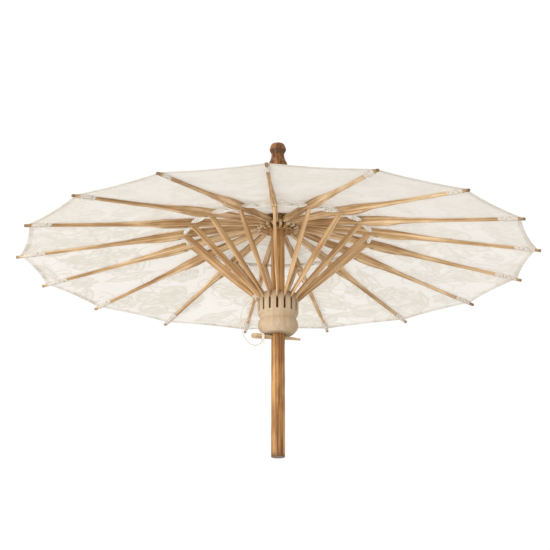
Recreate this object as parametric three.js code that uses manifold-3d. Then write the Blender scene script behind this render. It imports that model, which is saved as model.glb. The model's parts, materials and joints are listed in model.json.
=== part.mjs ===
// A small lace parasol, open, built as the wooden frame and thin cloth it is made of.
// Millimetres, +Z up. The origin is the centre of the shaft's lower end.
// Seventeen ribs hinge on a thread through the slotted top hub. Each rib is propped by a
// stretcher, whose foot stands in a slot of the runner that slides on the shaft.

import * as THREE from 'three';
import { mergeVertices } from 'three/addons/utils/BufferGeometryUtils.js';
import Module from 'manifold-3d';

const wasm = await Module();
wasm.setup();

// ---- driving dimensions ----
const RIB_COUNT = 17;
const FIRST_RIB_DEG = -2.24; // turned from -Y toward +X
const TIP_RADIUS = 310;
const TIP_Z = 236;
const HINGE = { r: 18, z: 282.5 }; // rib on hub
const PIVOT = { r: 112, z: 268.5 }; // stretcher on rib
const FOOT = { r: 20.5, z: 187 }; // stretcher in runner
const GAP = 0.3;

const SHAFT = { radius: 8, shoulderZ: 296, tenonRadius: 6, topZ: 330, edge: 0.4 };
const HUB = { radius: 20, bottomZ: 274.5, slotTopZ: 288.6, topZ: 291, neckRadius: 12.5, neckTopZ: 303.5 };
const HUB_SLOT = { width: 3.6, innerRadius: 11.6 };
const RUNNER = { crownRadius: 24.4, bottomZ: 145.6, topZ: 194, boreRadius: 8.6 };
const RUNNER_SLOT = { width: 2.6, innerRadius: 15, floorZ: 170 };
const FINIAL = { bottomZ: 303.8, topZ: 388 };
const THREAD_RADIUS = 0.5;
const THREAD_HOLE_RADIUS = 1;

const RIB = { hubWidth: 3, bellyWidth: 5.8, outerWidth: 4, tipWidth: 3.4, slotWidth: 4 };
const STRETCHER = { depth: 6, footDepth: 3.8, width: 3.4, footWidth: 2, footLength: 12, footTaper: 34 };
const TIE = { pinRadius: 0.6, knotRadius: 1.5, holeRadius: 0.95 };

const PEG = { z: 142.2, turnDeg: 17, headAlong: -29.9, tailAlong: 27.5, headRadius: 3.3, tailRadius: 1.6 };
const PEG_HOLE_RADIUS = 2.8;
const STRING_RADIUS = 0.4;
const CLOTH = { thickness: 0.5, lift: 0.5, edgeInset: 7, scallop: 6 };

const RIB_SLOPE = Math.atan2(HINGE.z - TIP_Z, TIP_RADIUS - HINGE.r);
const RIB_LENGTH = Math.hypot(HINGE.z - TIP_Z, TIP_RADIUS - HINGE.r);
const STRETCHER_LEAN = Math.atan2(PIVOT.r - FOOT.r, PIVOT.z - FOOT.z); // from straight down
const STRETCHER_LENGTH = Math.hypot(PIVOT.r - FOOT.r, PIVOT.z - FOOT.z);

// The stretcher pivot seen along the rib, and how far it stands above the hinge-to-tip line.
const PIVOT_ALONG = (PIVOT.r - HINGE.r) * Math.cos(RIB_SLOPE) + (HINGE.z - PIVOT.z) * Math.sin(RIB_SLOPE);
const PIVOT_RISE = (PIVOT.r - HINGE.r) * Math.sin(RIB_SLOPE) - (HINGE.z - PIVOT.z) * Math.cos(RIB_SLOPE);

// Rib edges: distance along the rib, height over the hinge-to-tip line.
const RIB_TOP = [[0, 4.2], [40, 4.2], [88, 5.8], [128, 5.2], [158, 3.2], [200, 1.9], [RIB_LENGTH, 1.5]];
const RIB_BOTTOM = [[RIB_LENGTH, -1.5], [200, -1.7], [160, -2.4], [134, -4.5], [112, -4.8], [96, -3.6],
  [50, -3.2], [4, -2.8]];
// The slot in the rib's belly that takes the folded stretcher, as [x, z] from the pivot.
const BELLY_SLOT = [[-14, -12], [-8, -3.6], [-5.8, -1], [-3.8, 4.3], [3, 4.3], [56, -4.6], [56, -12]];

// ---- materials ----
const wood = (color, roughness) => new THREE.MeshStandardMaterial({ color, roughness, metalness: 0 });
const MATERIALS = {
  shaft: wood(0xb98346, 0.5),
  rib: wood(0xc79a60, 0.6),
  stretcher: wood(0xc19663, 0.6),
  runner: wood(0xdcc9a6, 0.65),
  hub: wood(0xa58c6c, 0.7),
  finial: wood(0x8a5a2c, 0.45),
  peg: wood(0xbfa277, 0.65),
  thread: wood(0xeee6d6, 0.9),
  cloth: wood(0xf1ede4, 0.9),
};

// ---- solids ----
const toSolid = (geometry) => {
  const bare = geometry.clone();
  bare.deleteAttribute('normal');
  bare.deleteAttribute('uv');
  const merged = mergeVertices(bare, 1e-4);
  const vertProperties = new Float32Array(merged.attributes.position.array);
  const triVerts = new Uint32Array(merged.index.array);
  return new wasm.Manifold(new wasm.Mesh({ numProp: 3, vertProperties, triVerts }));
};

const toGeometry = (solid) => {
  const mesh = solid.getMesh();
  const geometry = new THREE.BufferGeometry();
  geometry.setAttribute('position', new THREE.BufferAttribute(mesh.vertProperties, 3));
  geometry.setIndex(new THREE.BufferAttribute(mesh.triVerts, 1));
  geometry.computeVertexNormals();
  return geometry;
};

// An outline of [x, z] points, given thickness along y and centred on it.
const sideSlab = (points, thickness) => {
  const shape = new THREE.Shape(points.map(([x, z]) => new THREE.Vector2(x, z)));
  const slab = new THREE.ExtrudeGeometry(shape, { depth: thickness, bevelEnabled: false });
  return slab.translate(0, 0, -thickness / 2).rotateX(Math.PI / 2);
};

// An outline of [x, y] points, given height along z and centred on it.
const planSlab = (points, height) => {
  const shape = new THREE.Shape(points.map(([x, y]) => new THREE.Vector2(x, y)));
  const slab = new THREE.ExtrudeGeometry(shape, { depth: height, bevelEnabled: false });
  return slab.translate(0, 0, -height / 2);
};

const turned = (profile, segments) => {
  const points = profile.map(([r, z]) => new THREE.Vector2(r, z));
  return new THREE.LatheGeometry(points, segments).rotateX(Math.PI / 2);
};

const crossPin = (radius, length, x, z) => (
  new THREE.CylinderGeometry(radius, radius, length, 8).translate(x, 0, z)
);

// Points [x, z] round part of a circle, from one angle to another.
const arc = (x, z, radius, fromDeg, toDeg, steps) => Array.from({ length: steps + 1 }, (_, i) => {
  const angle = THREE.MathUtils.degToRad(fromDeg + ((toDeg - fromDeg) * i) / steps);
  return [x + radius * Math.cos(angle), z + radius * Math.sin(angle)];
});

// ---- the spokes' common frame: x outward, y along the rim, z up ----
const spokeAngle = (index) => (
  THREE.MathUtils.degToRad(FIRST_RIB_DEG - 90) + (2 * Math.PI * index) / RIB_COUNT
);

// A thread, or the tunnel for one, that runs round the axis and through every spoke.
const spokeRing = ({ r, z }, sectionRadius) => {
  const sides = 4;
  const section = Array.from({ length: sides + 1 }, (_, i) => {
    const angle = (2 * Math.PI * (i % sides)) / sides;
    return [r + sectionRadius * Math.cos(angle), z + sectionRadius * Math.sin(angle)];
  });
  return turned(section, RIB_COUNT).rotateZ(spokeAngle(0.5));
};

const spokeSlots = (width, innerRadius, outerRadius, bottomZ, topZ) => {
  const length = outerRadius - innerRadius;
  const height = topZ - bottomZ;
  const slots = Array.from({ length: RIB_COUNT }, (_, i) => new THREE.BoxGeometry(length, width, height)
    .translate(innerRadius + length / 2, 0, bottomZ + height / 2)
    .rotateZ(spokeAngle(i)));
  return slots.map(toSolid).reduce((all, slot) => all.add(slot));
};

// ---- shaft, finial and hub ----
const pegDirection = new THREE.Vector3(1, 0, 0)
  .applyAxisAngle(new THREE.Vector3(0, 0, 1), THREE.MathUtils.degToRad(PEG.turnDeg));

const alongPeg = (geometry) => geometry.rotateZ(-Math.PI / 2).rotateZ(THREE.MathUtils.degToRad(PEG.turnDeg));

const shaftGeometry = () => {
  const { radius, shoulderZ, tenonRadius, topZ, edge } = SHAFT;
  const body = toSolid(turned([
    [0, 0], [radius - edge, 0], [radius, edge], [radius, shoulderZ], [tenonRadius, shoulderZ + 2],
    [tenonRadius, topZ], [0, topZ],
  ], 24));
  const hole = alongPeg(new THREE.CylinderGeometry(PEG_HOLE_RADIUS, PEG_HOLE_RADIUS, 4 * radius, 10));
  return toGeometry(body.subtract(toSolid(hole.translate(0, 0, PEG.z))));
};

const finialGeometry = () => {
  const socketRadius = SHAFT.tenonRadius + GAP;
  const socketTop = SHAFT.topZ + GAP;
  const { bottomZ, topZ } = FINIAL;
  return turned([
    [0, socketTop], [socketRadius, socketTop], [socketRadius, bottomZ], [14, bottomZ], [14, bottomZ + 4],
    [10.2, bottomZ + 8], [9.6, bottomZ + 15], [12.4, bottomZ + 32], [13.2, bottomZ + 43], [11.4, topZ - 27],
    [8.2, topZ - 18.5], [7.7, topZ - 14], [10, topZ - 8], [7.7, topZ - 0.6], [0, topZ],
  ], 20);
};

const hubGeometry = () => {
  const { radius, bottomZ, slotTopZ, topZ, neckRadius, neckTopZ } = HUB;
  const boreRadius = SHAFT.radius + GAP;
  const body = toSolid(turned([
    [boreRadius, bottomZ], [radius, bottomZ], [radius, slotTopZ + 0.6], [radius - 2.5, topZ],
    [neckRadius, topZ], [neckRadius, neckTopZ], [boreRadius, neckTopZ], [boreRadius, bottomZ],
  ], 34));
  const slots = spokeSlots(HUB_SLOT.width, HUB_SLOT.innerRadius, radius + 4, bottomZ - 3, slotTopZ);
  const tunnel = toSolid(spokeRing(HINGE, THREAD_HOLE_RADIUS));
  return toGeometry(body.subtract(slots).subtract(tunnel));
};

// ---- runner ----
const runnerGeometry = () => {
  const { crownRadius, bottomZ, topZ, boreRadius } = RUNNER;
  const { width, innerRadius, floorZ } = RUNNER_SLOT;
  const body = toSolid(turned([
    [boreRadius, bottomZ], [15.8, bottomZ], [20.4, bottomZ + 3.6], [23.8, bottomZ + 9.4],
    [23.2, bottomZ + 14.4], [21.4, bottomZ + 19], [crownRadius, bottomZ + 25.4], [crownRadius, topZ],
    [boreRadius, topZ], [boreRadius, bottomZ],
  ], 34));
  const slots = spokeSlots(width, innerRadius, crownRadius + 4, floorZ, topZ + 3);
  const tunnel = toSolid(spokeRing(FOOT, THREAD_HOLE_RADIUS));
  return toGeometry(body.subtract(slots).subtract(tunnel));
};

// ---- ribs, stretchers and their ties ----
const ribGeometry = () => {
  const side = sideSlab([...arc(0, 0, 2.8, 225, 135, 2), ...RIB_TOP, ...RIB_BOTTOM], 2 * RIB.bellyWidth);
  const hubHalf = RIB.hubWidth / 2;
  const bellyHalf = RIB.bellyWidth / 2;
  const edge = [[-6, hubHalf], [8, hubHalf], [PIVOT_ALONG - 12, bellyHalf], [PIVOT_ALONG + 36, bellyHalf],
    [PIVOT_ALONG + 76, RIB.outerWidth / 2], [RIB_LENGTH + 1, RIB.tipWidth / 2]];
  const mirrored = edge.map(([x, y]) => [x, -y]).reverse();
  const blank = toSolid(side).intersect(toSolid(planSlab([...mirrored, ...edge], 40)));
  const slot = sideSlab(BELLY_SLOT.map(([x, z]) => [PIVOT_ALONG + x, z]), RIB.slotWidth);
  const eye = crossPin(THREAD_HOLE_RADIUS, 2 * RIB.bellyWidth, 0, 0);
  const pinHole = crossPin(TIE.holeRadius, 2 * RIB.bellyWidth, PIVOT_ALONG, PIVOT_RISE);
  return toGeometry([slot, eye, pinHole].map(toSolid).reduce((rib, cut) => rib.subtract(cut), blank));
};

const stretcherGeometry = () => {
  const headRadius = STRETCHER.depth / 2;
  const footRadius = STRETCHER.footDepth / 2;
  const L = STRETCHER_LENGTH;
  const underside = [L - STRETCHER.footTaper, -headRadius];
  const topside = [L - STRETCHER.footTaper, headRadius];
  const head = arc(0, 0, headRadius, 90, 270, 4);
  const foot = arc(L, 0, footRadius, -90, 90, 4);
  const side = sideSlab([...head, underside, ...foot, topside], 2 * STRETCHER.width);
  const half = STRETCHER.width / 2;
  const footHalf = STRETCHER.footWidth / 2;
  const edge = [[-2 * headRadius, half], [L - STRETCHER.footTaper, half],
    [L - STRETCHER.footLength, footHalf], [L + 2 * footRadius, footHalf]];
  const mirrored = edge.map(([x, y]) => [x, -y]).reverse();
  const blank = toSolid(side).intersect(toSolid(planSlab([...mirrored, ...edge], 40)));
  const holes = [crossPin(TIE.holeRadius, 20, 0, 0), crossPin(THREAD_HOLE_RADIUS, 20, L, 0)];
  return toGeometry(holes.map(toSolid).reduce((stick, hole) => stick.subtract(hole), blank));
};

// A thread pin through rib and stretcher, with a knot at each cheek of the rib.
const tieGeometry = () => {
  const { pinRadius, knotRadius } = TIE;
  const cheek = RIB.bellyWidth / 2 + GAP;
  const knot = [[pinRadius, cheek], [knotRadius, cheek + 0.4], [0, cheek + 0.9]];
  const mirrored = knot.map(([r, y]) => [r, -y]).reverse();
  return new THREE.LatheGeometry([...mirrored, ...knot].map(([r, y]) => new THREE.Vector2(r, y)), 6);
};

// ---- peg and its string ----
const pegGeometry = () => {
  const length = PEG.tailAlong - PEG.headAlong;
  const stick = new THREE.CylinderGeometry(PEG.tailRadius, PEG.headRadius, length, 10);
  return alongPeg(stick.translate(0, (PEG.tailAlong + PEG.headAlong) / 2, 0));
};

const STRING_ROUTE = [
  [-27.2, -9.2, 190.2], [-31, -9.6, 188], [-37, -9.8, 181.5], [-41.6, -9.8, 173.5], [-43.8, -9.6, 164],
  [-43.6, -9.4, 154], [-41.4, -9.2, 145], [-37.2, -8.8, 137.2], [-31.4, -8.2, 132], [-25.4, -7.2, 131],
  [-20.6, -6.2, 133.6], [-17.9, -5.5, 138.4],
];

const stringGeometry = () => {
  const route = new THREE.CatmullRomCurve3(STRING_ROUTE.map((point) => new THREE.Vector3(...point)));
  const section = new THREE.Shape(Array.from({ length: 8 }, (_, i) => new THREE.Vector2(STRING_RADIUS, 0)
    .rotateAround(new THREE.Vector2(), (Math.PI * i) / 4)));
  return new THREE.ExtrudeGeometry(section, { steps: 36, bevelEnabled: false, extrudePath: route });
};

// ---- canopy ----
// Rows of the cloth's underside over a rib, as [r, z], from the hub's neck to the rim.
const clothRows = () => {
  const crown = [[HUB.neckRadius + 0.9, 301], [HUB.neckRadius + 1.8, 293.4], [HUB.radius - 1.6, 292.2],
    [HUB.radius + 2, 290.4]];
  const last = RIB_LENGTH - CLOTH.edgeInset;
  const along = RIB_TOP.slice(1, -1).concat([[last, 1.6]]);
  const overRib = along.map(([s, h]) => {
    const rise = h + CLOTH.lift;
    return [
      HINGE.r + s * Math.cos(RIB_SLOPE) + rise * Math.sin(RIB_SLOPE),
      HINGE.z - s * Math.sin(RIB_SLOPE) + rise * Math.cos(RIB_SLOPE),
    ];
  });
  return [...crown, ...overRib];
};

const canopyGeometry = () => {
  const rows = clothRows();
  const columns = 2 * RIB_COUNT;
  const chord = Math.cos(Math.PI / RIB_COUNT);
  const positions = [];
  for (const lift of [0, CLOTH.thickness]) {
    rows.forEach(([r, z], row) => {
      const inset = row === rows.length - 1 ? CLOTH.scallop : 0;
      for (let column = 0; column < columns; column += 1) {
        const angle = spokeAngle(column / 2);
        const radius = column % 2 ? r * chord - inset : r;
        const drop = column % 2 ? inset * Math.tan(RIB_SLOPE) : 0;
        positions.push(radius * Math.cos(angle), radius * Math.sin(angle), z + drop + lift);
      }
    });
  }
  const at = (side, row, column) => (side * rows.length + row) * columns + (column % columns);
  const index = [];
  const quad = (a, b, c, d) => index.push(a, b, c, a, c, d);
  for (let column = 0; column < columns; column += 1) {
    for (let row = 0; row < rows.length - 1; row += 1) {
      quad(at(0, row, column), at(0, row, column + 1), at(0, row + 1, column + 1), at(0, row + 1, column));
      quad(at(1, row, column), at(1, row + 1, column), at(1, row + 1, column + 1), at(1, row, column + 1));
    }
    const rim = rows.length - 1;
    quad(at(0, 0, column), at(1, 0, column), at(1, 0, column + 1), at(0, 0, column + 1));
    quad(at(0, rim, column), at(0, rim, column + 1), at(1, rim, column + 1), at(1, rim, column));
  }
  const geometry = new THREE.BufferGeometry();
  geometry.setAttribute('position', new THREE.Float32BufferAttribute(positions, 3));
  geometry.setIndex(index);
  geometry.computeVertexNormals();
  return geometry;
};

// ---- assembly ----
const parasol = new THREE.Group();

const addPart = (parent, name, geometry, material) => {
  const mesh = new THREE.Mesh(geometry, material);
  mesh.name = name;
  parent.add(mesh);
  return mesh;
};

addPart(parasol, 'shaft', shaftGeometry(), MATERIALS.shaft);
addPart(parasol, 'top_hub', hubGeometry(), MATERIALS.hub);
addPart(parasol, 'finial', finialGeometry(), MATERIALS.finial);
addPart(parasol, 'hub_thread', spokeRing(HINGE, THREAD_RADIUS), MATERIALS.thread);
addPart(parasol, 'runner', runnerGeometry(), MATERIALS.runner);
addPart(parasol, 'runner_thread', spokeRing(FOOT, THREAD_RADIUS), MATERIALS.thread);
addPart(parasol, 'lock_peg', pegGeometry(), MATERIALS.peg).position.z = PEG.z;
addPart(parasol, 'peg_string', stringGeometry(), MATERIALS.thread);
addPart(parasol, 'canopy', canopyGeometry(), MATERIALS.cloth);

const ribShape = ribGeometry();
const stretcherShape = stretcherGeometry();
const tieShape = tieGeometry();
for (let index = 0; index < RIB_COUNT; index += 1) {
  const label = String(index + 1).padStart(2, '0');
  const spoke = new THREE.Group();
  spoke.rotation.z = spokeAngle(index);
  const rib = addPart(spoke, `rib_${label}`, ribShape, MATERIALS.rib);
  rib.position.set(HINGE.r, 0, HINGE.z);
  rib.rotation.y = RIB_SLOPE;
  const stretcher = addPart(spoke, `stretcher_${label}`, stretcherShape, MATERIALS.stretcher);
  stretcher.position.set(PIVOT.r, 0, PIVOT.z);
  stretcher.rotation.y = Math.PI / 2 + STRETCHER_LEAN;
  addPart(spoke, `tie_${label}`, tieShape, MATERIALS.thread).position.set(PIVOT.r, 0, PIVOT.z);
  parasol.add(spoke);
}

export default parasol;
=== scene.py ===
"""An open lace parasol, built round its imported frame: woods, threads, lace cloth, light and camera.

Metres, +Z up, in the frame's own coordinates. Each spoke (rib, stretcher and the cloth over them)
is made by one loop, in its own upright plane through the shaft.
"""

import json
import random
from math import atan2, cos, exp, hypot, pi, radians, sin, tan

import bpy
import numpy as np
from mathutils import Matrix, Vector, noise

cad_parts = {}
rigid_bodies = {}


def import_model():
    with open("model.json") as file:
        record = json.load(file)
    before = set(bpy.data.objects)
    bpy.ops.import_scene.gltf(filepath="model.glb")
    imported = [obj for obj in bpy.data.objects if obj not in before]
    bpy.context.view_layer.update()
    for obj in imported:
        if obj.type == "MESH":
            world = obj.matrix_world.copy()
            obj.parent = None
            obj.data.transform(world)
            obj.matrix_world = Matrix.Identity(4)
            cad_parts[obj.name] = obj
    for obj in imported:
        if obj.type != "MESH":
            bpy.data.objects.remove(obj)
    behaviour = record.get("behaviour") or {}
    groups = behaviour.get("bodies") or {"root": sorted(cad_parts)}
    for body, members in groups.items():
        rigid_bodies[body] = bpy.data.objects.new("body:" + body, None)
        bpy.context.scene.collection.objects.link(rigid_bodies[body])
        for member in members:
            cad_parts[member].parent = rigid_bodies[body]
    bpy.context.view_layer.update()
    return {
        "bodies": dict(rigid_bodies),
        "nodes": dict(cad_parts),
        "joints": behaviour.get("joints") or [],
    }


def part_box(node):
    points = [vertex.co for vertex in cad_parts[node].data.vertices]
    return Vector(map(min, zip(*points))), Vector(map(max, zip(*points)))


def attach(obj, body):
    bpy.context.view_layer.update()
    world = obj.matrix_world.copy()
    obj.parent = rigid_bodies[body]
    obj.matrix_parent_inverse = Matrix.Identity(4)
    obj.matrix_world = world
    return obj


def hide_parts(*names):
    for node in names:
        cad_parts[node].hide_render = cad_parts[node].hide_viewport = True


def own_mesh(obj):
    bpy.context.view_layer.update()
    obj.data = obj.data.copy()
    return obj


# noise_vector's offsets would otherwise come from the clock.
noise.seed_set(1)

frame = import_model()

MM = 0.001
UP = Vector((0, 0, 1))
JOINTS = {joint["name"]: joint for joint in frame["joints"]}
LABELS = sorted(name[4:] for name in frame["bodies"] if name.startswith("rib_"))
HALF_SECTOR = pi / len(LABELS)
# The peg's direction round the shaft.
PEG_TURN = radians(17)


# ---- camera ----
def make_camera():
    """Looks up at the parasol from below its rim, level with its middle."""
    data = bpy.data.cameras.new("camera")
    data.lens = 100.94
    data.sensor_width = 36
    camera = bpy.data.objects.new("camera", data)
    camera.location = Vector((-3.503, -1744.62, -347.72)) * MM
    camera.rotation_euler = (radians(108.011), 0, 0)
    bpy.context.scene.collection.objects.link(camera)
    bpy.context.scene.camera = camera


make_camera()


# ---- places, read from the frame ----
def toward(angle):
    """The level direction at an angle round the shaft."""
    return Vector((cos(angle), sin(angle), 0))


def node_points(node):
    return np.array([v.co for v in frame["nodes"][node].data.vertices])


def ring_place(node):
    """The radius and height of a thread that runs round the shaft."""
    points = node_points(node)
    return float(np.hypot(points[:, 0], points[:, 1]).mean()), float(points[:, 2].mean())


def rib_tip(label):
    """The radius and height of a rib's outer end."""
    points = node_points(f"rib_{label}")
    radii = np.hypot(points[:, 0], points[:, 1])
    outer = radii > radii.max() - 1.5 * MM
    return float(radii[outer].mean()), float(points[outer, 2].mean())


class Spoke:
    """One rib's upright plane, with the places where its rib and stretcher hinge."""

    def __init__(self, label):
        self.label = label
        self.rib_body = f"rib_{label}"
        self.stretcher_body = f"stretcher_{label}"
        self.hinge = Vector(JOINTS[f"rib_{label}_hinge"]["pos_m"])
        self.pivot = Vector(JOINTS[f"stretcher_{label}_hinge"]["pos_m"])
        self.angle = atan2(self.hinge.y, self.hinge.x)
        self.out = toward(self.angle)
        self.side = UP.cross(self.out)
        self.tip = self.place(*rib_tip(label))
        self.foot = self.place(*ring_place("runner_thread"))
        self.rib_frame = self.frame_along(self.hinge, self.tip)
        self.stretcher_frame = self.frame_along(self.pivot, self.foot)
        self.length = (self.tip - self.hinge).length
        self.pivot_local = self.rib_frame.inverted() @ self.pivot

    def place(self, radius, height):
        return self.out * radius + UP * height

    def frame_along(self, start, end):
        """A frame at start with X toward end, Y along the rim and Z square to both."""
        along = (end - start).normalized()
        turn = Matrix((along, self.side, along.cross(self.side))).transposed()
        return Matrix.Translation(start) @ turn.to_4x4()


SPOKES = [Spoke(label) for label in LABELS]
PIVOT_ALONG = SPOKES[0].pivot_local.x


# ---- mesh helpers ----
def clamp(share):
    return min(max(share, 0), 1)


def drawn(draw, low, high):
    """A vector of three random draws."""
    return Vector((draw.uniform(low, high), draw.uniform(low, high), draw.uniform(low, high)))


def smooth(points):
    """A rounded line through (x, y) points, as a function of x."""
    xs, ys = (np.array(column, float) for column in zip(*points))
    slopes = np.gradient(ys, xs)

    def at(x):
        i = min(max(int(np.searchsorted(xs, x)) - 1, 0), len(xs) - 2)
        width = xs[i + 1] - xs[i]
        t = clamp((x - xs[i]) / width)
        start = (1 + 2 * t) * (1 - t) ** 2 * ys[i] + t * (1 - t) ** 2 * width * slopes[i]
        end = t * t * (3 - 2 * t) * ys[i + 1] + t * t * (t - 1) * width * slopes[i + 1]
        return start + end

    return at


def make_object(name, points, faces, crease_deg=38):
    mesh = bpy.data.meshes.new(name)
    mesh.from_pydata([tuple(p) for p in points], [], faces)
    mesh.validate()
    mesh.shade_smooth()
    mesh.set_sharp_from_angle(angle=radians(crease_deg))
    made = bpy.data.objects.new(name, mesh)
    bpy.context.scene.collection.objects.link(made)
    return made


def loft(rings):
    """Points and faces of a skin over rings of equal counts, with its ends capped."""
    count = len(rings[0])
    points = [p for ring in rings for p in ring]
    faces = []
    for row in range(len(rings) - 1):
        a, b = row * count, (row + 1) * count
        for i in range(count):
            j = (i + 1) % count
            faces.append((a + i, a + j, b + j, b + i))
    faces.append(tuple(reversed(range(count))))
    faces.append(tuple(range(len(points) - count, len(points))))
    return points, faces


def grid_faces(rows, columns, joined=False):
    """Faces between rows of points, whose ends are joined where they run round the shaft."""
    return [(r * columns + c, (r + 1) * columns + c, (r + 1) * columns + (c + 1) % columns,
             r * columns + (c + 1) % columns)
            for r in range(rows - 1) for c in range(columns if joined else columns - 1)]


def merged(parts):
    """Several (points, faces) skins as one."""
    points, faces = [], []
    for more_points, more_faces in parts:
        faces += [tuple(i + len(points) for i in face) for face in more_faces]
        points += more_points
    return points, faces


def heading(path, i):
    """The path's direction at its point i."""
    return (path[min(i + 1, len(path) - 1)] - path[max(i - 1, 0)]).normalized()


def tube(path, radius, sides):
    """A round tube along a path. radius is a number or a function of the share along it."""
    path = [Vector(p) for p in path]
    rings = []
    normal = None
    for i, p in enumerate(path):
        ahead = heading(path, i)
        if normal is None:
            normal = ahead.orthogonal().normalized()
        normal = (normal - ahead * normal.dot(ahead)).normalized()
        across = ahead.cross(normal)
        r = radius(i / (len(path) - 1)) if callable(radius) else radius
        turns = [2 * pi * k / sides for k in range(sides)]
        rings.append([p + normal * (r * cos(t)) + across * (r * sin(t)) for t in turns])
    return loft(rings)


def rounded_path(points, steps=6):
    """A Catmull-Rom path through the points."""
    points = [Vector(p) for p in points]
    ends = [2 * points[0] - points[1], *points, 2 * points[-1] - points[-2]]
    path = []
    for a, b, c, d in zip(ends, ends[1:], ends[2:], ends[3:]):
        for k in range(steps):
            t = k / steps
            path.append(0.5 * (2 * b + (c - a) * t + (2 * a - 5 * b + 4 * c - d) * t * t
                               + (3 * b - a - 3 * c + d) * t ** 3))
    return [*path, points[-1]]


def lathe(profile, segments, closed, wobble, seed):
    """A turned body of (radius, height) points; wobble is how far hand work strays from round."""
    rings = []
    for k in range(segments):
        direction = toward(2 * pi * k / segments)
        ring = []
        for r, z in profile:
            stray = wobble * noise.noise((direction * 2).to_3d() + Vector((seed, seed, z * 60)))
            ring.append(direction * max(r + (stray if r > 2 * MM else 0), 0) + UP * z)
        rings.append(ring)
    count = len(profile)
    points = [p for ring in rings for p in ring]
    faces = []
    for k in range(segments):
        a, b = k * count, (k + 1) % segments * count
        for i in range(count if closed else count - 1):
            j = (i + 1) % count
            faces.append((a + i, b + i, b + j, a + j))
    return points, faces


def apply_modifiers(obj):
    mesh = bpy.data.meshes.new_from_object(obj.evaluated_get(bpy.context.evaluated_depsgraph_get()))
    obj.modifiers.clear()
    obj.data = mesh


def turned(name, profile, segments, closed, wobble, seed):
    """A turned body as an object, with the points on its axis joined."""
    made = make_object(name, *lathe(profile, segments, closed, wobble, seed))
    modifier = made.modifiers.new("weld", "WELD")
    modifier.merge_threshold = 0.001 * MM
    apply_modifiers(made)
    return made


def cut(obj, cutter, crease_deg=38):
    """Takes the cutter's shape out of obj, and removes the cutter."""
    modifier = obj.modifiers.new("cut", "BOOLEAN")
    modifier.operation = "DIFFERENCE"
    modifier.solver = "EXACT"
    modifier.object = cutter
    apply_modifiers(obj)
    obj.data.shade_smooth()
    obj.data.set_sharp_from_angle(angle=radians(crease_deg))
    bpy.data.objects.remove(cutter, do_unlink=True)


def box_skin(low, high, matrix):
    corners = [Vector((x, y, z)) for z in (low[2], high[2]) for y in (low[1], high[1])
               for x in (low[0], high[0])]
    faces = [(0, 2, 3, 1), (4, 5, 7, 6), (0, 1, 5, 4), (2, 6, 7, 3), (0, 4, 6, 2), (1, 3, 7, 5)]
    return [matrix @ c for c in corners], faces


def store(obj, name, kind, values):
    """Keeps a value for each point, which the materials read."""
    attribute = obj.data.attributes.new(name, kind, "POINT")
    field = "vector" if kind == "FLOAT_VECTOR" else "value"
    attribute.data.foreach_set(field, np.asarray(values, np.float32).ravel())


def finish_wood(obj, local, seed, wear_and_shade=None, matrix=None):
    """Lays the grain along the piece's own X, marks where it is darker from wear and from painted shade, and
    puts the piece in place.
    """
    shift = drawn(random.Random(seed), 0, 9)
    points = [v.co.copy() for v in obj.data.vertices]
    store(obj, "grain", "FLOAT_VECTOR", [tuple(local(p) + shift) for p in points])
    store(obj, "wear_and_shade", "FLOAT", [wear_and_shade(p) if wear_and_shade else 0.0 for p in points])
    if matrix:
        obj.data.transform(matrix)


def place_piece(piece, material, body, slot, *stands_for):
    """Paints a piece, attaches it to the body that carries it, and hides the nodes it stands for."""
    piece.data.materials.clear()
    piece.data.materials.append(material)
    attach(piece, body)
    if stands_for:
        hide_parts(*stands_for)


def along_z(point):
    """Grain that runs up a turned piece."""
    return Vector((point.z, point.x, point.y))


def along_x(point):
    return point


# ---- material helpers ----
def new_material(name):
    """A new material, its nodes and its shader."""
    material = bpy.data.materials.new(name)
    material.use_nodes = True
    return material, material.node_tree, material.node_tree.nodes["Principled BSDF"]


def fill(tree, made, inputs):
    """Links or sets a node's inputs."""
    for socket, value in inputs.items():
        if isinstance(value, bpy.types.NodeSocket):
            tree.links.new(value, made.inputs[socket])
        else:
            made.inputs[socket].default_value = value


def node(tree, kind, inputs=(), **settings):
    made = tree.nodes.new(kind)
    for key, value in settings.items():
        setattr(made, key, value)
    fill(tree, made, dict(inputs))
    return made


def calc(tree, operation, a, b=0.0, c=0.0):
    return node(tree, "ShaderNodeMath", {0: a, 1: b, 2: c}, operation=operation).outputs[0]


def times(tree, a, b):
    return calc(tree, "MULTIPLY", a, b)


def times_plus(tree, a, b, more):
    return calc(tree, "MULTIPLY_ADD", a, b, more)


def less(tree, a, b):
    return calc(tree, "SUBTRACT", a, b)


def most(tree, value, *others):
    """The greatest of some values."""
    for other in others:
        value = calc(tree, "MAXIMUM", value, other)
    return value


def vector_calc(tree, operation, *vectors):
    return node(tree, "ShaderNodeVectorMath", enumerate(vectors), operation=operation).outputs[0]


def scaled(tree, vector, scale):
    return vector_calc(tree, "MULTIPLY", vector, scale)


def parts_of(tree, vector):
    return node(tree, "ShaderNodeSeparateXYZ", {0: vector}).outputs


def cloud(tree, vector, scale, detail, distortion=0.0):
    """Noise from 0 to 1 at a place."""
    inputs = {"Vector": vector, "Scale": scale, "Detail": detail, "Distortion": distortion,
              "Roughness": 0.55}
    return node(tree, "ShaderNodeTexNoise", inputs).outputs["Fac"]


def ramp(tree, value, *stops):
    """Colours at given shares, blended in between."""
    made = node(tree, "ShaderNodeValToRGB", {0: value})
    elements = made.color_ramp.elements
    while len(elements) < len(stops):
        elements.new(1.0)
    for element, (share, colour) in zip(elements, stops):
        element.position = share
        element.color = (*colour, 1)
    return made.outputs[0]


def step(tree, value, low, high):
    """Rises from 0 to 1 as the value goes from low to high."""
    inputs = {"Value": value, "From Min": low, "From Max": high}
    return node(tree, "ShaderNodeMapRange", inputs, interpolation_type="SMOOTHSTEP").outputs["Result"]


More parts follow.
